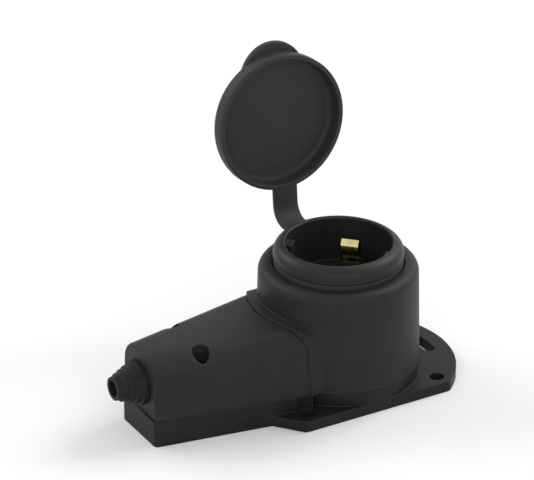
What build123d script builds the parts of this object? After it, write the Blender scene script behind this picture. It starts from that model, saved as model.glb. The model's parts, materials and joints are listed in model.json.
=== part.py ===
from build123d import *
import os
from math import cos, pi, radians, sin, sqrt, tan

# Surface-mounted rubber cable socket with a flip lid on a ring and strap.
# The origin is on the underside of the base, on the axis of the round socket.
# +X runs from the cable entry to the socket end, +Z is up, sizes are in millimetres.

# Socket insert: the standard's recess and pins drive the round parts
recess_radius = 19.5
recess_depth = 17.5
pin_pitch_drop = 0.5
pin_hole_radius = 2.7
cup_wall = 2.0
cup_skirt_relief = 0.2
cup_height = 26.5
cup_floor = 4.0
cup_chamfer = 1.0
flange_overhang = 0.1
flange_edge = 1.4
flange_rise = 4.8
flange_bulge = 0.9
flange_slope = 2.9
earth_slot_width = 7.4
earth_slot_drop = 8.0
earth_slot_bite = 0.7
key_width = 5.0
key_depth = 2.4
key_drop = 3.0
key_root = 1.2
cup_screw_inset = 6.5
cup_screw_sink = 2.4
cup_pillar_radius = 3.4

# Round housing
cup_fit = 0.3
ledge_thickness = 4.5
ring_seat_depth = 3.0
ring_seat_gap = 0.5
rim_wall = 5.0
housing_draft = 0.9
housing_height = 38.0
housing_wall = 3.2
housing_edge_radius = 3.6

# Docking collar of the housing, where the cable cover meets it
collar_stand = 3.3
collar_inset = 6.9
collar_taper = 0.9
collar_drop = 12.0
collar_crown = 1.4
collar_corner = 8.0
doorway_wall = 4.9
doorway_taper = 0.6
doorway_drop = 6.0
doorway_crown = 1.0
doorway_corner = 5.5

# Lid, its ring and its strap
ring_fit = 0.1
ring_height = 4.8
ring_wall = 2.2
strap_thickness = 1.6
strap_width = 10.0
strap_bend = 6.5
strap_gap = 0.05
hinge_reach = 13.2
lid_clearance = 0.3
lid_open_angle = 95.0
lid_wall = 1.8
lid_depth = 6.4
lid_top = 1.8
lid_edge_radius = 4.5
lid_dome = 0.6
lid_rim_radius = 0.5
lid_hollow_radius = 2.0
tab_radius = 13.0
tab_reach = 3.8
tab_thickness = 2.5
tab_drop = 0.3
tab_edge_radius = 0.6

# Base plate
base_height = 10.0
flange_thickness = 4.2
base_floor = 2.5
base_wall = 2.5
tail_overhang = 0.5
tail_tip_half = 12.5
ear_corner_radius = 2.0
ear_rear_margin = 3.5
ear_front_margin = 2.5
ear_side_margin = 5.2
ear_flare = 8.2
base_end_margin = 8.3
mount_hole_radius = 2.75
mount_spacing_x = 55.0
mount_head_radius = 4.2
slot_margin = 6.5
slot_length = 15.0
slot_width = 4.6
spigot_height = 2.0
spigot_wall = 1.8
spigot_clearance = 0.3
rib_thickness = 1.6

# Cable cover
cover_root_inset = 6.2
cover_nose_half = 12.3
cover_nose_top_half = 11.2
cover_nose_drop = 2.0
cover_nose_crown = 1.0
cover_nose_corner = 8.6
cover_step_in = 0.8
cover_step_down = 0.4
cover_wall = 2.6
cover_nose_wall = 3.0
cover_gap = 0.1
hood_overrun = 2.5
nose_edge_radius = 1.2

# Cable entry
gland_axis_z = 20.85
gland_neck_radius = 7.0
gland_flange_radius = 9.3
gland_flange_width = 2.2
gland_bore_radius = 3.2
gland_mouth_radius = 5.2
gland_tip_radius = 4.6
gland_ring_radius = 8.3
gland_step = 2.1
gland_step_count = 4
gland_fit = 0.1
cradle_top_z = 16.5

# Screws
screw_radius = 1.5
screw_head_radius = 2.9
screw_head_height = 2.2
screw_recess_depth = 1.2
screw_recess_width = 0.8
screw_recess_length = 3.4
screw_dome = 0.4
screw_point = 0.3
screw_hole_fit = 0.05
screw_through_fit = 0.2
cup_screw_length = 20.0
cover_screw_gap = 9.9
cover_screw_y = 10.8
cover_screw_length = 14.0
cover_screw_seat_z = 22.6
cover_post_radius = 2.8
cover_post_top_z = 19.5
cover_tower_radius = 4.0
post_clearance = 0.3
clamp_screw_length = 12.0
clamp_post_radius = 3.0
clamp_post_top_z = 17.1

# Clamp bar
clamp_gap = 7.6
nose_gap = 11.5
clamp_length = 21.0
clamp_width = 7.0
clamp_thickness = 2.8
clamp_screw_inset = 2.75
clamp_arch_radius = 6.0
clamp_arch_rise = 2.0

# Terminal block
block_gap = 9.5
block_base_z = 10.6
block_length = 20.0
pole_pitch = 9.4
pole_width = 7.4
pole_height = 9.0
pole_corner = 2.0
web_thickness = 3.0
tower_radius = 3.1
tower_height = 13.0
tower_spacing = 10.4
tower_bore_radius = 2.2
tube_radius = 2.5
tube_bore_radius = 1.6
tube_inset = 1.0
tube_axis_height = 5.2
fixing_tower_radius = 2.6
fixing_hole_radius = 1.6
block_post_radius = 2.8
block_screw_length = 14.0
block_peg_radius = 1.4
block_peg_rise = 8.0
clamping_head_radius = 2.0
clamping_head_height = 1.6
clamping_screw_radius = 1.2
clamping_screw_length = 4.2
clamping_lift = 0.75

# Contacts
bar_y = 3.2
bar_thickness = 1.0
bar_height = 7.0
bar_drop = 1.0
bar_rear_inset = 4.0
bar_front_inset = 0.4
bar_plate_length = 7.0
bar_plate_reach = 11.4
bar_plate_rise = 3.1
bar_hole_radius = 1.6
bar_hole_inset = 7.5
bar_post_width = 5.0
bar_post_rise = 2.1
bar_post_fit = 0.1
bar_post_rear_inset = 3.9
bar_post_front_inset = 2.7
terminal_screw_inset = 3.4
terminal_screw_y = 8.6
terminal_screw_length = 5.0
clip_thickness = 0.6
clip_rise = 1.1
clip_height = 8.4
clip_leaf_length = 7.0
rivet_radius = 0.8
rivet_head_radius = 1.4
rivet_head_height = 0.5
rivet_spacing = 4.4
rivet_rise = 2.0
earth_strip_width = 6.6
earth_strip_thickness = 1.0
earth_strip_drop = 2.0
earth_upright_offset = 1.1
earth_spring_offset = 3.3
earth_spring_drop = 11.0
earth_shoulder_drop = 15.5
earth_tip_offset = 0.9
earth_tip_drop = 8.6
earth_bend_radius = 1.6
earth_tab_width = 3.4
earth_tab_clearance = 0.2
earth_screw_gap = 2.1
earth_tab_end = 3.6
earth_pad_radius = 2.8
earth_peg_radius = 1.5
contact_post_radius = 3.0

# Wires inside
wire_radius = 1.3
wire_start_inset = 2.5
wire_end_lap = 0.3
wire_bend_share = 0.45
lead_out = 4.2
lead_in = 5.6
lead_shift = 0.4
earth_lead_in = 7.2
earth_lead_end = 3.1
loop_fall = 3.2
loop_side = 2.6
loop_drop = 7.8
loop_rise = 4.0
divider_gap = 2.9
divider_y = 4.7
divider_width = 5.4
divider_rise = 0.5

# Heights that follow from the sizes above
seat_z = base_height
housing_top_z = seat_z + housing_height
ring_seat_z = housing_top_z - ring_seat_depth
ring_top_z = ring_seat_z + ring_height
cup_top_z = ring_top_z + flange_edge + flange_rise
cup_foot_z = cup_top_z - cup_height
cup_floor_z = cup_top_z - recess_depth
cup_underside_z = cup_floor_z - cup_floor
cup_screw_seat_z = cup_floor_z - cup_screw_sink
bar_base_z = cup_foot_z - bar_drop - bar_height
bar_plate_z = bar_base_z + bar_plate_rise
bar_post_top_z = bar_base_z + bar_post_rise
cup_pillar_foot_z = bar_base_z + screw_radius / 3
clip_base_z = bar_base_z + clip_rise
rivet_z = clip_base_z + rivet_rise
earth_strip_z = bar_base_z - earth_strip_drop
earth_top_z = earth_strip_z + earth_strip_thickness
tube_axis_z = block_base_z + tube_axis_height
closed_rim_z = ring_top_z + lid_clearance
lid_height = lid_depth + lid_top

# Radii that follow, from the recess outward
cup_outer_radius = recess_radius + cup_wall
skirt_radius = recess_radius - cup_skirt_relief
earth_slot_radius = recess_radius - earth_slot_bite
cup_screw_y = recess_radius - cup_screw_inset
ring_inner_radius = cup_outer_radius + ring_fit
ring_outer_radius = ring_inner_radius + ring_wall
flange_radius = ring_outer_radius + flange_overhang
crest_radius = flange_radius - flange_slope
cup_bore_radius = cup_outer_radius + cup_fit
ring_seat_radius = ring_outer_radius + ring_seat_gap
housing_top_radius = ring_seat_radius + rim_wall
housing_radius = housing_top_radius + housing_draft
spigot_radius = housing_radius - housing_wall - spigot_clearance
tray_radius = spigot_radius - spigot_wall
collar_radius = housing_radius + collar_stand
collar_half = housing_radius - collar_inset
collar_top_half = collar_half - collar_taper
doorway_half = collar_half - doorway_wall
doorway_top_half = doorway_half - doorway_taper
collar_height = housing_height - collar_drop
doorway_height = collar_height - doorway_drop
lid_inner_radius = flange_radius + lid_clearance
lid_radius = lid_inner_radius + lid_wall
hinge_y = ring_outer_radius + hinge_reach
pin_pitch = recess_radius - pin_pitch_drop
pin_offset = pin_pitch / 2 / sqrt(2)

# Places along the cable side, from the housing outward
cover_root_x = cover_root_inset - housing_radius
cover_root_half = collar_half - cover_step_in
cover_root_top_half = collar_top_half - cover_step_in
cover_root_height = collar_height - cover_step_down
cover_nose_height = collar_height - cover_nose_drop
block_x = cover_root_x - block_gap - block_length / 2
cover_screw_x = block_x - block_length / 2 - cover_screw_gap
clamp_x = cover_screw_x - clamp_gap
clamp_screw_y = clamp_length / 2 - clamp_screw_inset
cover_nose_x = clamp_x - nose_gap
cover_run = cover_root_x - cover_nose_x
tail_tip_x = cover_nose_x - tail_overhang
tail_slope = (cover_root_half - tail_tip_half) / (cover_root_x - tail_tip_x)
tray_root_x = -sqrt(tray_radius**2 - doorway_half**2)
bar_start_x = bar_rear_inset - tray_radius
bar_end_x = tray_radius - bar_front_inset
bar_hole_x = bar_end_x - bar_hole_inset
bar_post_rear_x = bar_start_x + bar_post_rear_inset
bar_post_front_x = bar_end_x - bar_post_front_inset
terminal_screw_x = bar_start_x + terminal_screw_inset
earth_screw_x = bar_start_x - earth_screw_gap
earth_tab_end_x = earth_screw_x - earth_tab_end
divider_x = earth_tab_end_x - divider_gap
wire_start_x = block_x + block_length / 2 - wire_start_inset
wire_end_x = bar_start_x + wire_end_lap

# Outline of the base and its mounting holes
ear_rear_x = -mount_spacing_x / 2 - ear_rear_margin
ear_root_x = ear_rear_x - ear_flare
ear_front_x = mount_spacing_x / 2 + ear_front_margin
ear_half = housing_radius
mount_spacing_y = 2 * (ear_half - ear_side_margin)
slot_centre_x = housing_radius + slot_margin
base_end_x = slot_centre_x + base_end_margin
mount_places = [
    (side * mount_spacing_x / 2, other * mount_spacing_y / 2)
    for side in (-1, 1)
    for other in (-1, 1)
]

# The open lid: its centre, and the ways that its top and its tab point
lid_angle = radians(lid_open_angle)
lid_centre = Vector(
    0,
    hinge_y * (1 - cos(lid_angle)),
    closed_rim_z + hinge_y * sin(lid_angle),
)
lid_outward = Vector(0, sin(lid_angle), cos(lid_angle))
lid_upward = Vector(0, -cos(lid_angle), sin(lid_angle))
lid_face = Plane(origin=lid_centre, x_dir=(1, 0, 0), z_dir=lid_outward)
lid_section = Plane(origin=lid_centre, x_dir=(1, 0, 0), z_dir=lid_upward)

# Places of what repeats
pole_places = [-pole_pitch, 0, pole_pitch]
cover_screw_places = [(cover_screw_x, -cover_screw_y), (cover_screw_x, cover_screw_y)]
clamp_screw_places = [(clamp_x, -clamp_screw_y), (clamp_x, clamp_screw_y)]
cup_screw_places = [(0, -cup_screw_y), (0, cup_screw_y)]
tower_places = [
    (block_x + side * tower_spacing / 2, y) for side in (-1, 1) for y in pole_places
]
rivet_places = [pin_offset - rivet_spacing / 2, pin_offset + rivet_spacing / 2]
clip_inner_y = bar_y + bar_thickness / 2
bar_wire_z = bar_plate_z + bar_thickness + wire_radius
earth_wire_z = earth_top_z + wire_radius

os.makedirs("parts", exist_ok=True)


def cross_plane(x):
    """Upright plane across the object at x, its local origin on the seat height."""
    return Plane(origin=(x, 0, seat_z), x_dir=(0, 1, 0), z_dir=(1, 0, 0))


def arch_profile(foot_half, top_half, height, crown, corner):
    """Loaf-shaped outline that stands on the local x axis."""
    shoulder = height - crown
    with BuildSketch(mode=Mode.PRIVATE) as profile:
        with BuildLine():
            Polyline((-top_half, shoulder), (-foot_half, 0), (foot_half, 0), (top_half, shoulder))
            ThreePointArc((-top_half, shoulder), (0, height), (top_half, shoulder))
        make_face()
        fillet(profile.vertices().group_by(Axis.Y)[-1], corner)
    return profile.sketch


def hood_profile(x, inset):
    """Outline of the cable cover at x, drawn in by inset on the sides and the top."""
    share = (x - cover_nose_x) / cover_run

    def between(nose, root):
        return nose + (root - nose) * share

    return arch_profile(
        between(cover_nose_half, cover_root_half) - inset,
        between(cover_nose_top_half, cover_root_top_half) - inset,
        between(cover_nose_height, cover_root_height) - inset,
        between(cover_nose_crown, collar_crown),
        between(cover_nose_corner, collar_corner) - inset,
    )


def tail_half(x):
    """Half the width of the base's tail at x."""
    return tail_tip_half + (x - tail_tip_x) * tail_slope


def pan_screw(head_radius, head_height, shank_radius, length):
    """Pan head screw with a cross recess, the seat of its head at the origin."""
    with BuildPart(mode=Mode.PRIVATE) as screw:
        with BuildSketch():
            Circle(head_radius)
        extrude(amount=head_height)
        fillet(screw.edges().group_by(Axis.Z)[-1], head_height * screw_dome)
        with BuildSketch():
            Circle(shank_radius)
        extrude(amount=-length)
        chamfer(screw.edges().group_by(Axis.Z)[0], shank_radius * screw_point)
        recess = screw_recess_length * head_radius / screw_head_radius
        with BuildSketch(Plane.XY.offset(head_height)):
            Rectangle(recess, screw_recess_width)
            Rectangle(screw_recess_width, recess)
        extrude(amount=-screw_recess_depth, mode=Mode.SUBTRACT)
    return screw.part


def bend_radii(points):
    """Largest arcs that the runs of a lead allow, one for each corner."""
    spots = [Vector(*point) for point in points]
    radii = []
    for before, here, after in zip(spots, spots[1:], spots[2:]):
        turn = radians((here - before).get_angle(after - here))
        shorter = min((here - before).length, (after - here).length)
        radii.append(wire_bend_share * shorter / tan(turn / 2))
    return radii


# Base plate: a flange with ears, a raised tray wall and the posts inside it
with BuildPart() as base_plate:
    with BuildSketch():
        with BuildLine():
            Polyline(
                (ear_front_x, -ear_half),
                (ear_rear_x, -ear_half),
                (ear_root_x, -tail_half(ear_root_x)),
                (tail_tip_x, -tail_tip_half),
                (tail_tip_x, tail_tip_half),
                (ear_root_x, tail_half(ear_root_x)),
                (ear_rear_x, ear_half),
                (ear_front_x, ear_half),
            )
            ThreePointArc((ear_front_x, ear_half), (base_end_x, 0), (ear_front_x, -ear_half))
        outline = make_face()
        fillet(outline.vertices(), ear_corner_radius)
    extrude(amount=flange_thickness)
    with BuildSketch() as wall_outline:
        Circle(housing_radius)
        with BuildLine():
            Polyline(
                (tail_tip_x, -tail_tip_half),
                (tail_tip_x, tail_tip_half),
                (cover_root_x, cover_root_half),
                (cover_root_x, -cover_root_half),
                close=True,
            )
        make_face()
        fillet(wall_outline.vertices().group_by(Axis.X)[0], ear_corner_radius)
    extrude(amount=base_height)
    with BuildSketch():
        Circle(collar_radius)
        with Locations((cover_root_x - collar_radius / 2, 0)):
            Rectangle(collar_radius, 2 * collar_half, mode=Mode.INTERSECT)
    extrude(amount=base_height)
    with BuildSketch():
        Circle(spigot_radius)
    extrude(amount=base_height + spigot_height)
    with BuildSketch(Plane.XY.offset(base_height)):
        with Locations((-collar_radius, 0)):
            Rectangle(2 * collar_radius, 2 * doorway_half)
    extrude(amount=spigot_height, mode=Mode.SUBTRACT)
    with BuildSketch(Plane.XY.offset(base_floor)):
        Circle(tray_radius)
        with BuildLine():
            tray_tip_x = tail_tip_x + base_wall
            Polyline(
                (tray_tip_x, -tail_half(tray_tip_x) + base_wall),
                (tray_tip_x, tail_half(tray_tip_x) - base_wall),
                (cover_root_x, cover_root_half - base_wall),
                (tray_root_x, doorway_half),
                (tray_root_x, -doorway_half),
                (cover_root_x, -cover_root_half + base_wall),
                close=True,
            )
        make_face()
    extrude(amount=base_height + spigot_height, mode=Mode.SUBTRACT)

    # Round posts: for the cover, the clamp, the insert, the block and the earth strip
    round_posts = [
        (clamp_screw_places, clamp_post_top_z, clamp_post_radius),
        (cover_screw_places, cover_post_top_z, cover_post_radius),
        (cup_screw_places, cup_pillar_foot_z, cup_pillar_radius),
        ([(block_x, -pole_pitch / 2), (block_x, pole_pitch / 2)], block_base_z, block_post_radius),
        ([(block_x, pole_pitch / 2)], block_base_z + block_peg_rise, block_peg_radius),
        ([(earth_screw_x, 0), (0, 0)], earth_strip_z, contact_post_radius),
        ([(0, 0)], earth_top_z, earth_peg_radius),
    ]
    for places, top_z, radius in round_posts:
        with BuildSketch(Plane.XY.offset(base_floor)):
            with Locations(*places):
                Circle(radius)
        extrude(amount=top_z - base_floor)

    # Ribs that carry the terminal block, the saddle under the cable and the lead divider
    with BuildSketch(Plane.XY.offset(base_floor)):
        with Locations((block_x - tower_spacing / 2, 0), (block_x + tower_spacing / 2, 0)):
            Rectangle(rib_thickness, 2 * pole_pitch + pole_width)
    extrude(amount=block_base_z - base_floor)
    with BuildSketch(Plane.XY.offset(base_floor)):
        with Locations((clamp_x, 0)):
            Rectangle(base_wall, 2 * clamp_screw_y)
    extrude(amount=clamp_post_top_z - base_floor)
    divider_height = earth_strip_z + divider_rise - base_floor
    with BuildSketch(Plane(origin=(divider_x, 0, base_floor), x_dir=(0, 1, 0), z_dir=(1, 0, 0))):
        with Locations((divider_y, divider_height / 2)):
            divider = Rectangle(divider_width, divider_height)
        fillet(divider.vertices().group_by(Axis.Y)[-1], divider_width / 3)
    extrude(amount=rib_thickness)

    # Cradle that closes the nose under the grommet
    with BuildSketch(Plane.XY.offset(base_floor)):
        with Locations((cover_nose_x + cover_nose_wall / 2, 0)):
            Rectangle(cover_nose_wall - 2 * gland_fit, 2 * gland_neck_radius)
    extrude(amount=cradle_top_z - base_floor)
    with BuildSketch(Plane(origin=(0, 0, gland_axis_z), x_dir=(0, 1, 0), z_dir=(1, 0, 0))):
        Circle(gland_neck_radius + screw_hole_fit)
    extrude(amount=tail_tip_x - clamp_width, mode=Mode.SUBTRACT)

    # Slotted posts that hold the live and neutral bars on edge
    for x in (bar_post_rear_x, bar_post_front_x):
        with BuildSketch(Plane.XY.offset(base_floor)):
            with Locations((x, -bar_y), (x, bar_y)):
                Rectangle(bar_post_width, bar_post_width)
        extrude(amount=bar_post_top_z - base_floor)
    with BuildSketch(Plane.XY.offset(bar_base_z)):
        with Locations((0, -bar_y), (0, bar_y)):
            Rectangle(2 * housing_radius, bar_thickness + 2 * bar_post_fit)
    extrude(amount=bar_height, mode=Mode.SUBTRACT)
    with BuildSketch(Plane.XY.offset(earth_strip_z)):
        with Locations((bar_post_rear_x, 0)):
            Rectangle(bar_post_width, earth_tab_width + 2 * earth_tab_clearance)
    extrude(amount=bar_height, mode=Mode.SUBTRACT)

    # Screw holes in the posts: places, height of the screw's seat, its length
    post_holes = [
        (clamp_screw_places, clamp_post_top_z + clamp_thickness, clamp_screw_length),
        (cover_screw_places, cover_screw_seat_z, cover_screw_length),
        (cup_screw_places, cup_screw_seat_z, cup_screw_length),
        ([(block_x, -pole_pitch / 2)], block_base_z + pole_height, block_screw_length),
        ([(earth_screw_x, 0)], earth_top_z, terminal_screw_length),
    ]
    for places, seat, length in post_holes:
        with BuildSketch(Plane.XY.offset(seat)):
            with Locations(*places):
                Circle(screw_radius + screw_hole_fit)
        extrude(amount=-length - screw_through_fit, mode=Mode.SUBTRACT)

    # Mounting holes with room for a screw's head, and the slot at the socket end
    with BuildSketch(Plane.XY.offset(flange_thickness)):
        with Locations(*mount_places):
            Circle(mount_head_radius)
    extrude(amount=base_height, mode=Mode.SUBTRACT)
    with BuildSketch():
        with Locations(*mount_places):
            Circle(mount_hole_radius)
        with Locations((slot_centre_x, 0)):
            SlotOverall(slot_length, slot_width, rotation=90)
    extrude(amount=flange_thickness, mode=Mode.SUBTRACT)
base_plate.part.label = "base_plate"
export_step(base_plate.part, "parts/base_plate.step")


# Collar form: the arch that the housing wears on its cable side
with BuildPart() as collar_form:
    with BuildSketch(cross_plane(-collar_radius)):
        add(arch_profile(collar_half, collar_top_half, collar_height, collar_crown, collar_corner))
    extrude(amount=collar_radius / 2)
    with BuildSketch(Plane.XY.offset(seat_z)):
        Circle(collar_radius)
    extrude(amount=collar_height + collar_crown, mode=Mode.INTERSECT)


# Housing: a drafted round rubber moulding with a ledge for the ring and a doorway
with BuildPart() as socket_housing:
    with BuildSketch(Plane.XZ) as housing_outline:
        with BuildLine():
            Polyline(
                (0, seat_z),
                (housing_radius, seat_z),
                (housing_top_radius, housing_top_z),
                (0, housing_top_z),
                close=True,
            )
        make_face()
        corner = housing_outline.vertices().group_by(Axis.Y)[-1].sort_by(Axis.X)[-1]
        fillet(corner, housing_edge_radius)
    revolve(axis=Axis.Z)
    add(collar_form.part)
    cavity_radius = housing_radius - housing_wall
    with BuildSketch(Plane.XZ):
        with BuildLine():
            Polyline(
                (0, seat_z),
                (cavity_radius, seat_z),
                (cavity_radius, ring_seat_z - ledge_thickness),
                (cup_bore_radius, ring_seat_z - ledge_thickness),
                (cup_bore_radius, ring_seat_z),
                (ring_seat_radius, ring_seat_z),
                (ring_seat_radius, housing_top_z),
                (0, housing_top_z),
                close=True,
            )
        make_face()
    revolve(axis=Axis.Z, mode=Mode.SUBTRACT)
    with BuildSketch(cross_plane(-collar_radius)):
        add(
            arch_profile(
                doorway_half, doorway_top_half, doorway_height, doorway_crown, doorway_corner
            )
        )
    extrude(amount=collar_radius, mode=Mode.SUBTRACT)
socket_housing.part.label = "socket_housing"
export_step(socket_housing.part, "parts/socket_housing.step")


# Socket insert: the round recess with its flange, floor, keys and earth slots
with BuildPart() as socket_cup:
    with BuildSketch(Plane.XZ):
        with BuildLine():
            Polyline(
                (crest_radius - cup_chamfer / 2, cup_top_z),
                (recess_radius + cup_chamfer / 2, cup_top_z),
                (recess_radius, cup_top_z - cup_chamfer / 2),
                (recess_radius, cup_floor_z),
                (0, cup_floor_z),
                (0, cup_underside_z),
                (skirt_radius, cup_underside_z),
                (skirt_radius, cup_foot_z),
                (cup_outer_radius - cup_chamfer, cup_foot_z),
                (cup_outer_radius, cup_foot_z + cup_chamfer),
                (cup_outer_radius, ring_top_z),
                (flange_radius - flange_edge / 3, ring_top_z),
                (flange_radius, ring_top_z + flange_edge / 3),
                (flange_radius, ring_top_z + flange_edge),
            )
            ThreePointArc(
                (flange_radius, ring_top_z + flange_edge),
                (flange_radius - flange_bulge, cup_top_z - flange_rise / 3),
                (crest_radius - cup_chamfer / 2, cup_top_z),
            )
        make_face()
    revolve(axis=Axis.Z)
    # Screw pillars under the floor
    with BuildSketch(Plane.XY.offset(cup_pillar_foot_z)):
        with Locations(*cup_screw_places):
            Circle(cup_pillar_radius)
    extrude(amount=cup_underside_z - cup_pillar_foot_z)
    # Guide keys on the line of the pins
    with BuildSketch(Plane.XY.offset(cup_floor_z)):
        with PolarLocations(recess_radius - (key_depth - key_root) / 2, 2, start_angle=-45):
            Rectangle(key_depth + key_root, key_width)
    extrude(amount=recess_depth - key_drop)
    # Slots that the earth springs stand in, across the line of the pins
    with BuildSketch(Plane.XY.offset(cup_foot_z)):
        with PolarLocations(cup_outer_radius, 2, start_angle=45):
            Rectangle(2 * (cup_outer_radius - earth_slot_radius), earth_slot_width)
    extrude(amount=cup_height - earth_slot_drop, mode=Mode.SUBTRACT)
    # Pin holes and screw holes through the floor
    with BuildSketch(Plane.XY.offset(cup_floor_z)):
        with Locations((pin_offset, -pin_offset), (-pin_offset, pin_offset)):
            Circle(pin_hole_radius)
    extrude(amount=-cup_floor, mode=Mode.SUBTRACT)
    with BuildSketch(Plane.XY.offset(cup_floor_z)):
        with Locations(*cup_screw_places):
            Circle(screw_head_radius + screw_through_fit)
    extrude(amount=-cup_screw_sink, mode=Mode.SUBTRACT)
    with BuildSketch(Plane.XY.offset(cup_floor_z)):
        with Locations(*cup_screw_places):
            Circle(screw_radius + screw_through_fit)
    extrude(amount=cup_pillar_foot_z - cup_floor_z, mode=Mode.SUBTRACT)
socket_cup.part.label = "socket_cup"
export_step(socket_cup.part, "parts/socket_cup.step")


# Ring under the insert's flange, which carries the strap
with BuildPart() as lid_ring:
    with BuildSketch(Plane.XY.offset(ring_seat_z)):
        Circle(ring_outer_radius)
        Circle(ring_inner_radius, mode=Mode.SUBTRACT)
    extrude(amount=ring_height)
lid_ring.part.label = "lid_ring"
export_step(lid_ring.part, "parts/lid_ring.step")


# Strap: leaves the ring level over the housing's top and bends up to the lid
with BuildPart() as lid_strap:
    half_thickness = strap_thickness / 2
    strap_foot = Vector(0, 0, ring_top_z - half_thickness)
    strap_line = lid_centre + lid_outward * half_thickness
    run_to_corner = (strap_line.Z - strap_foot.Z) / lid_upward.Z
    strap_corner = strap_line - lid_upward * run_to_corner
    with BuildSketch(Plane.YZ):
        with BuildLine():
            FilletPolyline(
                (0, strap_foot.Z),
                (strap_corner.Y, strap_corner.Z),
                (strap_line.Y, strap_line.Z),
                radius=strap_bend,
            )
        trace(line_width=strap_thickness)
    extrude(amount=strap_width / 2, both=True)
    with BuildSketch(Plane.XY.offset(ring_seat_z)):
        Circle(ring_outer_radius)
    extrude(amount=ring_height, mode=Mode.SUBTRACT)
    with BuildSketch(lid_face.offset(-lid_height)):
        Circle(lid_radius + strap_gap)
    extrude(amount=3 * lid_height, mode=Mode.SUBTRACT)
lid_strap.part.label = "lid_strap"
export_step(lid_strap.part, "parts/lid_strap.step")


# Lid: a round cap with a rolled edge and a rounded grip tab opposite the strap
with BuildPart() as lid:
    with BuildSketch(lid_face.offset(lid_height - tab_drop)):
        with Locations((0, tab_radius - tab_reach - lid_radius)):
            Circle(tab_radius)
    extrude(amount=-tab_thickness)
    fillet(lid.edges().filter_by(GeomType.CIRCLE), tab_edge_radius)
    with BuildSketch(lid_section) as lid_outline:
        with BuildLine():
            Polyline(
                (0, lid_height + lid_dome),
                (0, 0),
                (lid_radius, 0),
                (lid_radius, lid_height),
            )
            TangentArc((0, lid_height + lid_dome), (lid_radius, lid_height), tangent=(1, 0))
        make_face()
        outer_corners = lid_outline.vertices().group_by(Axis.X)[-1].sort_by(Axis.Y)
        fillet(outer_corners[-1], lid_edge_radius)
        fillet(outer_corners[0], lid_rim_radius)
    revolve(axis=Axis(lid_centre, lid_outward))
    with BuildSketch(lid_section) as lid_hollow:
        with Locations((lid_inner_radius / 2, lid_depth / 2)):
            Rectangle(lid_inner_radius, lid_depth)
        hollow_corners = lid_hollow.vertices().group_by(Axis.X)[-1].sort_by(Axis.Y)
        fillet(hollow_corners[-1], lid_hollow_radius)
    revolve(axis=Axis(lid_centre, lid_outward), mode=Mode.SUBTRACT)
lid.part.label = "lid"
export_step(lid.part, "parts/lid.step")


# Hood form: the solid outside shape of the cable cover
with BuildPart() as hood_form:
    for x in (cover_nose_x, cover_root_x + hood_overrun):
        with BuildSketch(cross_plane(x)):
            add(hood_profile(x, 0))
    loft(ruled=True)
    nose_edges = hood_form.edges().group_by(Axis.X)[0].sort_by(Axis.Z)[1:]
    fillet(nose_edges, nose_edge_radius)
    with BuildSketch(Plane.XY.offset(seat_z)):
        Circle(collar_radius + cover_gap)
    extrude(amount=2 * collar_height, mode=Mode.SUBTRACT)


# Tower form: the two screw towers inside the cover, trimmed to its outside shape
with BuildPart() as tower_form:
    with BuildSketch(Plane.XY.offset(cover_post_top_z)):
        with Locations(*cover_screw_places):
            Circle(cover_tower_radius)
    extrude(amount=collar_height)
    add(hood_form.part, mode=Mode.INTERSECT)


# Cable cover: a tapered hood, open below and at the housing, with an arched nose
with BuildPart() as cable_cover:
    add(hood_form.part)
    for x in (cover_nose_x + cover_nose_wall, cover_root_x + hood_overrun):
        with BuildSketch(cross_plane(x)):
            add(hood_profile(x, cover_wall))
    loft(ruled=True, mode=Mode.SUBTRACT)
    add(tower_form.part)
    with BuildSketch(Plane.XY.offset(seat_z)):
        with Locations(*cover_screw_places):
            Circle(cover_post_radius + post_clearance)
    extrude(amount=cover_post_top_z - seat_z, mode=Mode.SUBTRACT)
    with BuildSketch(Plane.XY.offset(cover_screw_seat_z)):
        with Locations(*cover_screw_places):
            Circle(screw_head_radius + post_clearance)
    extrude(amount=collar_height, mode=Mode.SUBTRACT)
    with BuildSketch(Plane.XY.offset(seat_z)):
        with Locations(*cover_screw_places):
            Circle(screw_radius + screw_through_fit)
    extrude(amount=collar_height, mode=Mode.SUBTRACT)
    with BuildSketch(cross_plane(cover_nose_x)):
        notch_radius = gland_neck_radius + gland_fit
        with Locations((0, gland_axis_z - seat_z)):
            Circle(notch_radius)
        with Locations((0, (gland_axis_z - seat_z) / 2)):
            Rectangle(2 * notch_radius, gland_axis_z - seat_z)
    extrude(amount=cover_nose_wall, mode=Mode.SUBTRACT)
cable_cover.part.label = "cable_cover"
export_step(cable_cover.part, "parts/cable_cover.step")


# Grommet: a flange inside the nose, a neck in its arch and steps that shrink outward
with BuildPart() as cable_gland:
    with BuildSketch(Plane(origin=(0, 0, gland_axis_z), x_dir=(1, 0, 0), z_dir=(0, -1, 0))):
        with BuildLine():
            neck_front_x = cover_nose_x - gland_fit
            neck_back_x = cover_nose_x + cover_nose_wall + gland_fit
            flange_back_x = neck_back_x + gland_flange_width
            step_points = []
            for index in range(gland_step_count):
                front_x = neck_front_x - gland_step * (index + 1)
                share = index / gland_step_count
                radius = gland_ring_radius + (gland_tip_radius - gland_ring_radius) * share
                step_points.append((front_x + gland_step, radius))
                step_points.append((front_x, radius - gland_step / 8))
            tip_x = neck_front_x - gland_step * (gland_step_count + 1)
            Polyline(
                (tip_x, gland_bore_radius),
                (neck_front_x - gland_step, gland_bore_radius),
                (flange_back_x, gland_mouth_radius),
                (flange_back_x, gland_flange_radius),
                (neck_back_x, gland_flange_radius),
                (neck_back_x, gland_neck_radius),
                (neck_front_x, gland_neck_radius),
                *step_points,
                (neck_front_x - gland_step * gland_step_count, gland_tip_radius),
                (tip_x, gland_tip_radius - gland_step / 8),
                close=True,
            )
        make_face()
    revolve(axis=Axis((0, 0, gland_axis_z), (1, 0, 0)))
cable_gland.part.label = "cable_gland"
export_step(cable_gland.part, "parts/cable_gland.step")


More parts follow.
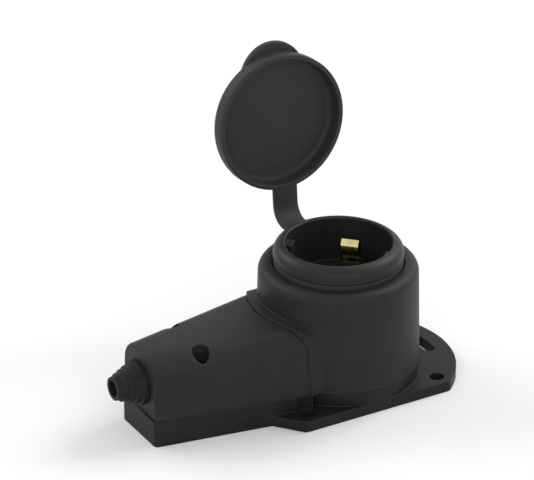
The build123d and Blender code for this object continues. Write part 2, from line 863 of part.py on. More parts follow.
# Clamp bar: an arched bridge over the cable with two screw ears
with BuildPart() as cable_clamp:
    with BuildSketch(Plane.XY.offset(clamp_post_top_z)):
        with Locations((clamp_x, 0)):
            SlotOverall(clamp_length, clamp_width, rotation=90)
    extrude(amount=clamp_thickness)
    clamp_plane = Plane(origin=(clamp_x, 0, clamp_post_top_z), x_dir=(0, 1, 0), z_dir=(1, 0, 0))
    with BuildSketch(clamp_plane):
        with Locations((0, clamp_thickness + clamp_arch_rise - clamp_arch_radius)):
            Circle(clamp_arch_radius)
        with Locations((0, 2 * clamp_arch_radius)):
            Rectangle(4 * clamp_arch_radius, 4 * clamp_arch_radius, mode=Mode.INTERSECT)
    extrude(amount=clamp_width / 2, both=True)
    with BuildSketch(clamp_plane):
        with Locations((0, clamp_arch_rise - clamp_arch_radius)):
            Circle(clamp_arch_radius)
    extrude(amount=clamp_width, both=True, mode=Mode.SUBTRACT)
    with BuildSketch(Plane.XY.offset(clamp_post_top_z)):
        with Locations(*clamp_screw_places):
            Circle(screw_radius + screw_through_fit)
    extrude(amount=clamp_thickness, mode=Mode.SUBTRACT)
cable_clamp.part.label = "cable_clamp"
export_step(cable_clamp.part, "parts/cable_clamp.step")


# Screws of the clamp, the cover and the insert, and the long one of the block
with BuildPart() as clamp_screws:
    with Locations(*[(x, y, clamp_post_top_z + clamp_thickness) for x, y in clamp_screw_places]):
        add(pan_screw(screw_head_radius, screw_head_height, screw_radius, clamp_screw_length))
clamp_screws.part.label = "clamp_screws"
export_step(clamp_screws.part, "parts/clamp_screws.step")

with BuildPart() as cover_screws:
    with Locations(*[(x, y, cover_screw_seat_z) for x, y in cover_screw_places]):
        add(pan_screw(screw_head_radius, screw_head_height, screw_radius, cover_screw_length))
cover_screws.part.label = "cover_screws"
export_step(cover_screws.part, "parts/cover_screws.step")

with BuildPart() as cup_screws:
    with Locations(*[(x, y, cup_screw_seat_z) for x, y in cup_screw_places]):
        add(pan_screw(screw_head_radius, screw_head_height, screw_radius, cup_screw_length))
cup_screws.part.label = "cup_screws"
export_step(cup_screws.part, "parts/cup_screws.step")

with BuildPart() as block_screw:
    with Locations((block_x, -pole_pitch / 2, block_base_z + pole_height)):
        add(pan_screw(tube_radius, screw_head_height, screw_radius, block_screw_length))
block_screw.part.label = "block_screw"
export_step(block_screw.part, "parts/block_screw.step")


# Terminal block: three barrels on a web, each with two screw towers
with BuildPart() as terminal_block:
    with BuildSketch(Plane.XY.offset(block_base_z)):
        with Locations((block_x, 0)):
            Rectangle(block_length - web_thickness, 2 * pole_pitch + pole_width / 2)
    extrude(amount=web_thickness)
    with BuildSketch(Plane(origin=(block_x, 0, block_base_z), x_dir=(0, 1, 0), z_dir=(1, 0, 0))):
        with Locations(*[(y, pole_height / 2) for y in pole_places]):
            RectangleRounded(pole_width, pole_height, pole_corner)
    extrude(amount=block_length / 2, both=True)
    with BuildSketch(Plane.XY.offset(block_base_z + tube_axis_height)):
        with Locations(*tower_places):
            Circle(tower_radius)
    extrude(amount=tower_height - tube_axis_height)
    with BuildSketch(Plane.XY.offset(block_base_z)):
        with Locations((block_x, -pole_pitch / 2), (block_x, pole_pitch / 2)):
            Circle(fixing_tower_radius)
    extrude(amount=pole_height)
    with BuildSketch(Plane(origin=(block_x, 0, block_base_z), x_dir=(0, 1, 0), z_dir=(1, 0, 0))):
        with Locations(*[(y, tube_axis_height) for y in pole_places]):
            Circle(tube_radius)
    extrude(amount=block_length, both=True, mode=Mode.SUBTRACT)
    with BuildSketch(Plane.XY.offset(block_base_z + tube_axis_height)):
        with Locations(*tower_places):
            Circle(tower_bore_radius)
    extrude(amount=tower_height, mode=Mode.SUBTRACT)
    with BuildSketch(Plane.XY.offset(block_base_z)):
        with Locations((block_x, -pole_pitch / 2), (block_x, pole_pitch / 2)):
            Circle(fixing_hole_radius)
    extrude(amount=pole_height, mode=Mode.SUBTRACT)
terminal_block.part.label = "terminal_block"
export_step(terminal_block.part, "parts/terminal_block.step")


# Brass tubes in the block, tapped for two screws each
with BuildPart() as terminal_tubes:
    with BuildSketch(Plane(origin=(block_x, 0, block_base_z), x_dir=(0, 1, 0), z_dir=(1, 0, 0))):
        with Locations(*[(y, tube_axis_height) for y in pole_places]):
            Circle(tube_radius)
            Circle(tube_bore_radius, mode=Mode.SUBTRACT)
    extrude(amount=block_length / 2 - tube_inset, both=True)
    with BuildSketch(Plane.XY.offset(block_base_z + tube_axis_height)):
        with Locations(*tower_places):
            Circle(clamping_screw_radius + screw_hole_fit)
    extrude(amount=tube_radius, mode=Mode.SUBTRACT)
terminal_tubes.part.label = "terminal_tubes"
export_step(terminal_tubes.part, "parts/terminal_tubes.step")


# Clamping screws of the block, two for each pole
with BuildPart() as terminal_screws:
    clamping_seat_z = tube_axis_z + tube_radius + clamping_lift
    with Locations(*[(x, y, clamping_seat_z) for x, y in tower_places]):
        add(
            pan_screw(
                clamping_head_radius,
                clamping_head_height,
                clamping_screw_radius,
                clamping_screw_length,
            )
        )
terminal_screws.part.label = "terminal_screws"
export_step(terminal_screws.part, "parts/terminal_screws.step")


# Bar form: a brass strip on edge with a screw plate folded out at the cable end
with BuildPart() as bar_form:
    with BuildSketch(Plane.XY.offset(bar_base_z)):
        with Locations(((bar_start_x + bar_end_x) / 2, -bar_y)):
            Rectangle(bar_end_x - bar_start_x, bar_thickness)
    extrude(amount=bar_height)
    with BuildSketch(Plane.XY.offset(bar_plate_z)):
        with Locations((bar_start_x + bar_plate_length / 2, -(bar_y + bar_plate_reach) / 2)):
            Rectangle(bar_plate_length, bar_plate_reach - bar_y)
    extrude(amount=bar_thickness)
    with BuildSketch(Plane.XY.offset(bar_plate_z)):
        with Locations((terminal_screw_x, -terminal_screw_y)):
            Circle(screw_radius + screw_hole_fit)
    extrude(amount=bar_thickness, mode=Mode.SUBTRACT)
    with BuildSketch(Plane.XZ):
        with Locations((bar_hole_x, bar_base_z + bar_height / 2)):
            Circle(bar_hole_radius)
    extrude(amount=2 * bar_y, mode=Mode.SUBTRACT)


# Front bar, with rivet holes at the front clip
with BuildPart() as contact_bar_front:
    add(bar_form.part)
    with BuildSketch(Plane.XZ):
        with Locations(*[(x, rivet_z) for x in rivet_places]):
            Circle(rivet_radius)
    extrude(amount=2 * bar_y, mode=Mode.SUBTRACT)
contact_bar_front.part.label = "contact_bar_front"
export_step(contact_bar_front.part, "parts/contact_bar_front.step")


# Rear bar: the mirror image, with rivet holes at the rear clip
with BuildPart() as contact_bar_rear:
    add(mirror(bar_form.part, about=Plane.XZ, mode=Mode.PRIVATE))
    with BuildSketch(Plane.XZ):
        with Locations(*[(-x, rivet_z) for x in rivet_places]):
            Circle(rivet_radius)
    extrude(amount=-2 * bar_y, mode=Mode.SUBTRACT)
contact_bar_rear.part.label = "contact_bar_rear"
export_step(contact_bar_rear.part, "parts/contact_bar_rear.step")


# Spring clip round the front pin: two leaves joined by a bend, riveted to its bar
with BuildPart() as pin_clip_front:
    leaf_y = clip_inner_y + clip_thickness / 2
    far_leaf_y = 2 * pin_offset - leaf_y
    clip_bend = (far_leaf_y - leaf_y) / 2
    clip_start_x = pin_offset - clip_leaf_length / 2
    clip_end_x = pin_offset + clip_leaf_length / 2
    with BuildSketch(Plane.XY.offset(clip_base_z)):
        with BuildLine():
            Line((clip_start_x, -leaf_y), (clip_end_x, -leaf_y))
            ThreePointArc(
                (clip_end_x, -leaf_y),
                (clip_end_x + clip_bend, -pin_offset),
                (clip_end_x, -far_leaf_y),
            )
            Line((clip_end_x, -far_leaf_y), (clip_start_x, -far_leaf_y))
        trace(line_width=clip_thickness)
    extrude(amount=clip_height)
    with BuildSketch(Plane.XZ):
        with Locations(*[(x, rivet_z) for x in rivet_places]):
            Circle(rivet_radius)
    extrude(amount=pin_offset, mode=Mode.SUBTRACT)
pin_clip_front.part.label = "pin_clip_front"
export_step(pin_clip_front.part, "parts/pin_clip_front.step")


# Rear clip: the front one turned half way round the socket's axis
with BuildPart() as pin_clip_rear:
    with Locations(Location((0, 0, 0), (0, 0, 180))):
        add(pin_clip_front.part)
pin_clip_rear.part.label = "pin_clip_rear"
export_step(pin_clip_rear.part, "parts/pin_clip_rear.step")


# Rivets that hold each clip on its bar, flush on the pin's side
with BuildPart() as clip_rivets:
    for side in (-1, 1):
        for x in rivet_places:
            head_plane = Plane(
                origin=(side * x, -side * (bar_y - bar_thickness / 2), rivet_z),
                x_dir=(1, 0, 0),
                z_dir=(0, side, 0),
            )
            with BuildSketch(head_plane):
                Circle(rivet_head_radius)
            extrude(amount=rivet_head_height)
            with BuildSketch(head_plane):
                Circle(rivet_radius)
            extrude(amount=-bar_thickness - clip_thickness)
clip_rivets.part.label = "clip_rivets"
export_step(clip_rivets.part, "parts/clip_rivets.step")


# Earth bracket: a strip across the socket with two sprung uprights and a screw tab
with BuildPart() as earth_bracket:
    strip_mid_z = (earth_strip_z + earth_top_z) / 2
    half_path = [
        (recess_radius + earth_upright_offset, strip_mid_z),
        (recess_radius + earth_upright_offset, cup_top_z - earth_shoulder_drop),
        (recess_radius - earth_spring_offset, cup_top_z - earth_spring_drop),
        (recess_radius - earth_tip_offset, cup_top_z - earth_tip_drop),
    ]
    with BuildSketch(Plane(origin=(0, 0, 0), x_dir=(1, 1, 0), z_dir=(1, -1, 0))):
        with BuildLine():
            FilletPolyline(
                *[(-x, z) for x, z in reversed(half_path)],
                *half_path,
                radius=earth_bend_radius,
            )
        trace(line_width=earth_strip_thickness)
    extrude(amount=earth_strip_width / 2, both=True)
    with BuildSketch(Plane.XY.offset(earth_strip_z)):
        with Locations((earth_tab_end_x / 2, 0)):
            Rectangle(-earth_tab_end_x, earth_tab_width)
        with Locations((earth_screw_x, 0)):
            Circle(earth_pad_radius)
    extrude(amount=earth_strip_thickness)
    with BuildSketch(Plane.XY.offset(earth_strip_z)):
        Circle(earth_peg_radius + screw_hole_fit)
        with Locations((earth_screw_x, 0)):
            Circle(screw_radius + screw_hole_fit)
    extrude(amount=earth_strip_thickness, mode=Mode.SUBTRACT)
earth_bracket.part.label = "earth_bracket"
export_step(earth_bracket.part, "parts/earth_bracket.step")


# Screws at the cable end of the two bars and of the earth bracket
with BuildPart() as contact_terminal_screws:
    with Locations(
        (terminal_screw_x, -terminal_screw_y, bar_plate_z + bar_thickness),
        (terminal_screw_x, terminal_screw_y, bar_plate_z + bar_thickness),
        (earth_screw_x, 0, earth_top_z),
    ):
        add(pan_screw(screw_head_radius, screw_head_height, screw_radius, terminal_screw_length))
contact_terminal_screws.part.label = "contact_terminal_screws"
export_step(contact_terminal_screws.part, "parts/contact_terminal_screws.step")


# Brown lead, from the far pole up to the rear bar
brown_points = [
    (wire_start_x, pole_pitch, tube_axis_z),
    (wire_start_x + lead_out, pole_pitch, tube_axis_z),
    (wire_end_x - lead_in, pole_pitch - lead_shift, bar_wire_z),
    (wire_end_x, terminal_screw_y, bar_wire_z),
]
brown_radii = bend_radii(brown_points)
with BuildPart() as wire_brown:
    with BuildLine() as brown_path:
        FilletPolyline(*brown_points, radius=brown_radii)
    with BuildSketch(Plane(origin=brown_points[0], z_dir=(1, 0, 0))):
        Circle(wire_radius)
    sweep()
wire_brown.part.label = "wire_brown"
export_step(wire_brown.part, "parts/wire_brown.step")


# Green-yellow lead, from the middle pole to the earth bracket
earth_points = [
    (wire_start_x, 0, tube_axis_z),
    (wire_start_x + lead_out, 0, tube_axis_z),
    (earth_screw_x - earth_lead_in, lead_shift, earth_wire_z),
    (earth_screw_x - earth_lead_end, 0, earth_wire_z),
]
earth_radii = bend_radii(earth_points)
with BuildPart() as wire_green_yellow:
    with BuildLine() as earth_path:
        FilletPolyline(*earth_points, radius=earth_radii)
    with BuildSketch(Plane(origin=earth_points[0], z_dir=(1, 0, 0))):
        Circle(wire_radius)
    sweep()
wire_green_yellow.part.label = "wire_green_yellow"
export_step(wire_green_yellow.part, "parts/wire_green_yellow.step")


# Blue lead, from the near pole down through a slack loop and up to the front bar
loop_y = -pole_pitch - loop_side
blue_points = [
    (wire_start_x, -pole_pitch, tube_axis_z),
    (wire_start_x + lead_out, -pole_pitch, tube_axis_z),
    (wire_start_x + lead_out + loop_fall, loop_y, tube_axis_z - loop_drop),
    (wire_end_x - loop_rise, loop_y - lead_shift, tube_axis_z - loop_drop / 3),
    (wire_end_x - loop_rise - lead_shift, -pole_pitch, bar_wire_z),
    (wire_end_x, -terminal_screw_y, bar_wire_z),
]
blue_radii = bend_radii(blue_points)
with BuildPart() as wire_blue:
    with BuildLine() as blue_path:
        FilletPolyline(*blue_points, radius=blue_radii)
    with BuildSketch(Plane(origin=blue_points[0], z_dir=(1, 0, 0))):
        Circle(wire_radius)
    sweep()
wire_blue.part.label = "wire_blue"
export_step(wire_blue.part, "parts/wire_blue.step")

for name, path, radii, lead in (
    ("brown", brown_path, brown_radii, wire_brown),
    ("green-yellow", earth_path, earth_radii, wire_green_yellow),
    ("blue", blue_path, blue_radii, wire_blue),
):
    length = path.wires()[0].length
    print(name, "lead radii", [round(radius, 2) for radius in radii])
    print("  length", round(length, 2), "volume", round(lead.part.volume, 2))
    print("  section x length", round(length * pi * wire_radius**2, 2))
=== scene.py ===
import bmesh
import bpy
import json
from math import atan2, cos, pi, radians, sin, sqrt, tan
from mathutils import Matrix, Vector


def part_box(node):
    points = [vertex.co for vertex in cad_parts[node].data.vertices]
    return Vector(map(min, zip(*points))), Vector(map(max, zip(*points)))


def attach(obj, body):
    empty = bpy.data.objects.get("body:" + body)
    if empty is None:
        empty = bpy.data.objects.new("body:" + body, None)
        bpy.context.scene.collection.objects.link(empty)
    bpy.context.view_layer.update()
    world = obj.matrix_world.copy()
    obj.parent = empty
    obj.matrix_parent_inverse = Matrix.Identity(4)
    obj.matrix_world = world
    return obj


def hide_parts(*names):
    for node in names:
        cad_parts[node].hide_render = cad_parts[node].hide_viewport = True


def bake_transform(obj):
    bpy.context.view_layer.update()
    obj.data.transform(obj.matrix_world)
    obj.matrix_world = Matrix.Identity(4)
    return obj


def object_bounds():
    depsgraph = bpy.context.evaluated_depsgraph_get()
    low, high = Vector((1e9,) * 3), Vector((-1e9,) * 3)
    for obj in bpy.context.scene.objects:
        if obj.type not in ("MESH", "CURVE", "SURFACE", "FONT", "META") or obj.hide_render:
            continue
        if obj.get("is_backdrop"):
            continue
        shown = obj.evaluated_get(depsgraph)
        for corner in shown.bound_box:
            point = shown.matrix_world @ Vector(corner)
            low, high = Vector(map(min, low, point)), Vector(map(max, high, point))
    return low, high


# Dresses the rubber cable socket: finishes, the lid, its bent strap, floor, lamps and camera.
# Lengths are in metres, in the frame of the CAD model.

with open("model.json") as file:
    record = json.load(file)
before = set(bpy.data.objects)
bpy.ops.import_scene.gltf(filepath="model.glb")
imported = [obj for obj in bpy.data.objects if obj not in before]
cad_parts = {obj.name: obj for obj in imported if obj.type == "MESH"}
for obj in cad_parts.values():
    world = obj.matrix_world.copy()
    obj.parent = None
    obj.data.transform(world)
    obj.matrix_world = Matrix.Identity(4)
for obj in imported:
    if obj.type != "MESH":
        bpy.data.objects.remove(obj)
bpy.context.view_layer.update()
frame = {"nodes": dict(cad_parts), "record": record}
nodes = frame["nodes"]

MM = 0.001
# Lengths below this count as nothing
TINY = 0.001 * MM
# Points of a joined mesh closer than this are merged
WELD = 0.01 * MM

# The view: the camera stands at -X and -Y, above the socket
PHOTO_AZIMUTH = 330.0
PHOTO_ELEVATION = 27.0
CAMERA_DISTANCE = 1.2
CAMERA_LENS = 224.0
SENSOR_WIDTH = 36.0

# Light: what the world gives the object, and what lifts the floor to white where it is seen
WORLD_STRENGTH = 0.50
FLOOR_LIFT = 0.14
LAMP_TARGET = Vector((-0.02, 0.0, 0.05))

# Where the noise of a finish turns from its dark tone to its light one
CLOUD_STOPS = (0.30, 0.70)
BODY_STOPS = (0.30, 0.72)
# The grainy turn from the light tone to the tone of the painted edge highlight
EDGE_HIGHLIGHT_STOPS = (0.25, 0.75)
STRIPE_STOPS = (0.55, 0.62)
# Dot product of a rounded normal with the face's: where the painted edge highlight starts, and
# where it is full
EDGE_LEAN = (0.99, 0.84)
EDGE_SAMPLES = 8
# The black finishes, and the painted highlight on their edges, are a touch bluer than grey
BODY_BLUE = 0.0005
EDGE_HIGHLIGHT_BLUE = 0.001
# How strongly the black finishes and the floor reflect
RUBBER_SPECULAR = 0.19
FLOOR_SPECULAR = 0.1

# The open lid hangs on a hinge line beside the ring
HINGE_Y = 37 * MM
LID_OPEN = radians(95)
RIM_GAP = 0.3 * MM

# The strap's section and the bend between its two straight runs
STRAP_WIDTH = 10 * MM
STRAP_THICKNESS = 1.6 * MM
STRAP_BEND = 6.5 * MM
STRAP_EDGE = 0.35 * MM
STRAP_EDGE_STEPS = 4
BEND_STEPS = 16
RUN_STEPS = 14
# The strap starts a little inside the ring and ends a little inside the lid's wall
RING_OVERLAP = 0.15 * MM
STRAP_INSET = 0.06 * MM
STRAP_LAP = 0.9 * MM
# It widens in a hollow curve where it leaves the ring
ROOT_FLARE = 2.2 * MM
ROOT_REACH = 2.6 * MM

# The lid: a shallow dome, a rolled edge, a thin wall and a hollow with a rounded corner
LID_HEIGHT = 8.2 * MM
LID_DOME = 0.6 * MM
LID_ROLL = 4.5 * MM
LID_RIM_EDGE = 0.5 * MM
LID_LIP_EDGE = 0.3 * MM
LID_WALL = 1.8 * MM
LID_DEPTH = 6.4 * MM
LID_HOLLOW_CORNER = 2.0 * MM
LID_TURN_STEPS = 160
DOME_STEPS = 12
ROLL_STEPS = 12
RIM_STEPS = 4
CORNER_STEPS = 8
# Faces that meet at more than this angle keep a crisp edge
SHARP_ANGLE = radians(32)

# The lid's grip tab: a round plate with rounded edges
TAB_RADIUS = 13.0 * MM
TAB_REACH = 3.8 * MM
TAB_THICKNESS = 2.5 * MM
TAB_DROP = 0.3 * MM
TAB_EDGE = 0.6 * MM
TAB_EDGE_STEPS = 3
TAB_END_STEPS = 36
TAB_ROOT_SHARE = 0.7
# It runs into the lid's wall in two hollow curves, whose ends sink into the rolled edge
TAB_FOOT_RADIUS = 5.0 * MM
FOOT_STEPS = 10
FOOT_SINK = 1.7 * MM
FOOT_FADE_TURN = radians(13)
FOOT_FADE_DEPTH = 1.8 * MM
FOOT_FADE_STEPS = 10


def new_material(name):
    """Fresh node material, its node tree, its surface shader and the object's coordinates."""
    material = bpy.data.materials.new(name)
    material.use_nodes = True
    tree = material.node_tree
    coords = tree.nodes.new("ShaderNodeTexCoord").outputs["Object"]
    return material, tree, tree.nodes["Principled BSDF"], coords


def noise(tree, coords, scale, detail, roughness, stretch=None):
    """Noise over the object's own coordinates, stretched along an axis where asked."""
    texture = tree.nodes.new("ShaderNodeTexNoise")
    texture.inputs["Scale"].default_value = scale
    texture.inputs["Detail"].default_value = detail
    texture.inputs["Roughness"].default_value = roughness
    source = coords
    if stretch:
        mapping = tree.nodes.new("ShaderNodeMapping")
        mapping.inputs["Scale"].default_value = stretch
        tree.links.new(coords, mapping.inputs["Vector"])
        source = mapping.outputs["Vector"]
    tree.links.new(source, texture.inputs["Vector"])
    return texture.outputs["Fac"]


def two_tone(tree, factor, first, second, stops=CLOUD_STOPS):
    """Ramp from one colour to another between two stops."""
    node = tree.nodes.new("ShaderNodeValToRGB")
    for element, position, colour in zip(node.color_ramp.elements, stops, (first, second)):
        element.position = position
        element.color = (*colour, 1.0)
    tree.links.new(factor, node.inputs["Fac"])
    return node.outputs["Color"]


def span(tree, value, source, target):
    """Maps a value from one range onto another, clamped."""
    node = tree.nodes.new("ShaderNodeMapRange")
    tree.links.new(value, node.inputs["Value"])
    for name, number in zip(("From Min", "From Max", "To Min", "To Max"), (*source, *target)):
        node.inputs[name].default_value = number
    return node.outputs["Result"]


def mix_colour(tree, factor, first, second):
    """Mixes two colour outputs by a factor."""
    node = tree.nodes.new("ShaderNodeMix")
    node.data_type = "RGBA"
    tree.links.new(factor, node.inputs["Factor"])
    tree.links.new(first, node.inputs["A"])
    tree.links.new(second, node.inputs["B"])
    return node.outputs["Result"]


def rounded_normal(tree, radius):
    """Normal that turns softly over edges of the given radius."""
    bevel = tree.nodes.new("ShaderNodeBevel")
    bevel.samples = EDGE_SAMPLES
    bevel.inputs["Radius"].default_value = radius
    return bevel.outputs["Normal"]


def edge_share(tree, rounded):
    """How far a rounded normal turns from the face: 0 away from edges, 1 on them; the mask of the
    painted edge highlight.
    """
    geometry = tree.nodes.new("ShaderNodeNewGeometry")
    dot = tree.nodes.new("ShaderNodeVectorMath")
    dot.operation = "DOT_PRODUCT"
    tree.links.new(rounded, dot.inputs[0])
    tree.links.new(geometry.outputs["Normal"], dot.inputs[1])
    return span(tree, dot.outputs["Value"], EDGE_LEAN, (0.0, 1.0))


def add_bump(tree, shader, height, strength, distance, rounded=None):
    """Raises the surface by a height, over a rounded normal where one is given."""
    bump = tree.nodes.new("ShaderNodeBump")
    bump.inputs["Strength"].default_value = strength
    bump.inputs["Distance"].default_value = distance
    tree.links.new(height, bump.inputs["Height"])
    if rounded is not None:
        tree.links.new(rounded, bump.inputs["Normal"])
    tree.links.new(bump.outputs["Normal"], shader.inputs["Normal"])


def set_roughness(tree, shader, cloud, low, high):
    """Makes the polish uneven: a roughness from low to high, by the noise given."""
    tree.links.new(span(tree, cloud, CLOUD_STOPS, (low, high)), shader.inputs["Roughness"])


def rubber(name, dark, light, edge, roughness, grain, depth, radius=0.5 * MM):
    """Moulded rubber or plastic: satin, mottled, finely grained, with a painted highlight on its
    edges.
    """
    material, tree, shader, coords = new_material(name)
    cloud = noise(tree, coords, scale=55.0, detail=4.0, roughness=0.6)
    speck = noise(tree, coords, scale=grain, detail=3.0, roughness=0.65)
    dark_tone = (dark, dark, dark + BODY_BLUE)
    light_tone = (light, light, light + BODY_BLUE)
    # Painted highlight: the lighter tone that rounded edges get
    edge_highlight_tone = (edge, edge, edge + EDGE_HIGHLIGHT_BLUE)
    rounded = rounded_normal(tree, radius)
    body = two_tone(tree, cloud, dark_tone, light_tone, BODY_STOPS)
    # Painted highlight on rounded edges, made grainy by the fine noise and mixed in by the edge
    # mask
    edge_highlight = two_tone(tree, speck, light_tone, edge_highlight_tone, EDGE_HIGHLIGHT_STOPS)
    colour = mix_colour(tree, edge_share(tree, rounded), body, edge_highlight)
    tree.links.new(colour, shader.inputs["Base Color"])
    set_roughness(tree, shader, cloud, low=roughness - 0.05, high=roughness + 0.06)
    shader.inputs["Specular IOR Level"].default_value = RUBBER_SPECULAR
    add_bump(tree, shader, speck, strength=0.5, distance=depth, rounded=rounded)
    return material


def metal(name, dark, light, roughness, stretch):
    """Plated or rolled metal with fine lines and slightly uneven polish."""
    material, tree, shader, coords = new_material(name)
    lines = noise(tree, coords, scale=900.0, detail=2.0, roughness=0.5, stretch=stretch)
    cloud = noise(tree, coords, scale=260.0, detail=3.0, roughness=0.6)
    tree.links.new(two_tone(tree, cloud, dark, light), shader.inputs["Base Color"])
    shader.inputs["Metallic"].default_value = 1.0
    set_roughness(tree, shader, cloud, low=roughness - 0.06, high=roughness + 0.08)
    rounded = rounded_normal(tree, radius=0.15 * MM)
    add_bump(tree, shader, lines, strength=0.4, distance=0.01 * MM, rounded=rounded)
    return material


def milky(name, dark, light):
    """Translucent milky plastic, a little cloudy, with soft gloss."""
    material, tree, shader, coords = new_material(name)
    cloud = noise(tree, coords, scale=180.0, detail=3.0, roughness=0.6)
    tree.links.new(two_tone(tree, cloud, dark, light), shader.inputs["Base Color"])
    set_roughness(tree, shader, cloud, low=0.18, high=0.30)
    shader.inputs["Transmission Weight"].default_value = 0.6
    shader.inputs["IOR"].default_value = 1.49
    add_bump(tree, shader, cloud, strength=0.2, distance=0.05 * MM)
    return material


def sleeve(name, dark, light, stripe=None):
    """Glossy wire insulation, with a second pair of tones in bands where asked."""
    material, tree, shader, coords = new_material(name)
    cloud = noise(tree, coords, scale=400.0, detail=3.0, roughness=0.6)
    colour = two_tone(tree, cloud, dark, light)
    if stripe:
        wave = tree.nodes.new("ShaderNodeTexWave")
        wave.bands_direction = "DIAGONAL"
        wave.inputs["Scale"].default_value = 70.0
        wave.inputs["Distortion"].default_value = 0.6
        tree.links.new(coords, wave.inputs["Vector"])
        share = span(tree, wave.outputs["Fac"], STRIPE_STOPS, (0.0, 1.0))
        colour = mix_colour(tree, share, colour, two_tone(tree, cloud, *stripe))
    tree.links.new(colour, shader.inputs["Base Color"])
    set_roughness(tree, shader, cloud, low=0.28, high=0.42)
    add_bump(tree, shader, cloud, strength=0.2, distance=0.03 * MM)
    return material


# In each rubber, edge is the tone of its painted edge highlight
# Finishes, named after the record's material slots
finishes = {
    "base_rubber": rubber(
        "hard_base_rubber", 0.009, 0.014, edge=0.046, roughness=0.50, grain=2600, depth=0.05 * MM
    ),
    "housing_rubber": rubber(
        "housing_rubber", 0.015, 0.023, edge=0.066, roughness=0.52, grain=2200, depth=0.06 * MM
    ),
    "insert_plastic": rubber(
        "insert_plastic", 0.016, 0.023, edge=0.058, roughness=0.42, grain=3200, depth=0.03 * MM
    ),
    "lid_rubber": rubber(
        "lid_rubber", 0.031, 0.042, edge=0.068, roughness=0.55, grain=2400, depth=0.05 * MM
    ),
    "gland_rubber": rubber(
        "gland_rubber", 0.009, 0.014, edge=0.040, roughness=0.56, grain=2800, depth=0.05 * MM
    ),
    "clamp_plastic": rubber(
        "clamp_plastic", 0.012, 0.018, edge=0.048, roughness=0.42, grain=3200, depth=0.03 * MM
    ),
    "zinc_steel": metal(
        "zinc_steel", (0.50, 0.49, 0.47), (0.66, 0.65, 0.63), roughness=0.30, stretch=(1, 1, 8)
    ),
    "brass": metal(
        "yellow_brass", (0.50, 0.42, 0.17), (0.68, 0.59, 0.29), roughness=0.27, stretch=(8, 1, 1)
    ),
    "milky_plastic": milky("milky_plastic", (0.90, 0.90, 0.86), (0.96, 0.96, 0.93)),
    "brown_sleeve": sleeve("brown_sleeve", (0.22, 0.062, 0.018), (0.30, 0.085, 0.025)),
    "blue_sleeve": sleeve("blue_sleeve", (0.01, 0.09, 0.34), (0.015, 0.13, 0.44)),
    "earth_sleeve": sleeve(
        "earth_sleeve",
        (0.06, 0.30, 0.04),
        (0.09, 0.40, 0.06),
        stripe=((0.70, 0.57, 0.02), (0.80, 0.67, 0.04)),
    ),
}


def dress_nodes():
    """Gives each CAD node the finish of its slot."""
    for part in frame["record"]["subparts"]:
        mesh = nodes[part["node"]].data
        mesh.materials.clear()
        mesh.materials.append(finishes[part["material_slot"]])


def link(obj):
    """Puts a new object in the scene and gives it back."""
    bpy.context.scene.collection.objects.link(obj)
    return obj


def shade_smooth(data):
    """Shades every face of a mesh smoothly."""
    for polygon in data.polygons:
        polygon.use_smooth = True


def mesh_object(name, mesh):
    """Turns a finished bmesh into a linked, smoothly shaded object."""
    data = bpy.data.meshes.new(name)
    mesh.to_mesh(data)
    mesh.free()
    shade_smooth(data)
    return link(bpy.data.objects.new(name, data))


def lid_frame():
    """Centre of the open lid's rim, the way its top points and the way its tab points."""
    outward = Vector((0, sin(LID_OPEN), cos(LID_OPEN)))
    upward = Vector((0, -cos(LID_OPEN), sin(LID_OPEN)))
    _, ring_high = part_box("lid_ring")
    hinge = Vector((0, HINGE_Y, ring_high[2] + RIM_GAP))
    return hinge + upward * HINGE_Y, outward, upward


def arc(centre, radius, start, stop, steps):
    """Points on an arc, with angles that run from the second axis towards the first."""
    angles = [start + (stop - start) * step / steps for step in range(steps + 1)]
    return [(centre[0] + radius * sin(a), centre[1] + radius * cos(a)) for a in angles]


def cap_section(radius):
    """Half section of the lid without its hollow: (radius, height), from dome to rim."""
    dome_radius = (radius**2 + LID_DOME**2) / (2 * LID_DOME)
    dome_centre = LID_HEIGHT + LID_DOME - dome_radius
    roll_centre = radius - LID_ROLL
    roll_height = dome_centre + sqrt((dome_radius - LID_ROLL) ** 2 - roll_centre**2)
    lean = atan2(roll_centre, roll_height - dome_centre)
    rim = (radius - LID_RIM_EDGE, LID_RIM_EDGE)
    section = arc((0, dome_centre), dome_radius, 0, lean, DOME_STEPS)
    section += arc((roll_centre, roll_height), LID_ROLL, lean, pi / 2, ROLL_STEPS)[1:]
    section += arc(rim, LID_RIM_EDGE, pi / 2, pi, RIM_STEPS)
    return section + [(0.0, 0.0)]


def hollow_section(radius):
    """Half section of the lid's hollow, from below its rim to its flat top."""
    inner = radius - LID_WALL
    lip = inner + LID_LIP_EDGE
    corner = (inner - LID_HOLLOW_CORNER, LID_DEPTH - LID_HOLLOW_CORNER)
    section = [(0.0, -LID_WALL), (lip, -LID_WALL)]
    section += arc((lip, LID_LIP_EDGE), LID_LIP_EDGE, pi, 3 * pi / 2, RIM_STEPS)
    section += arc(corner, LID_HOLLOW_CORNER, pi / 2, 0, CORNER_STEPS)
    return section + [(0.0, LID_DEPTH)]


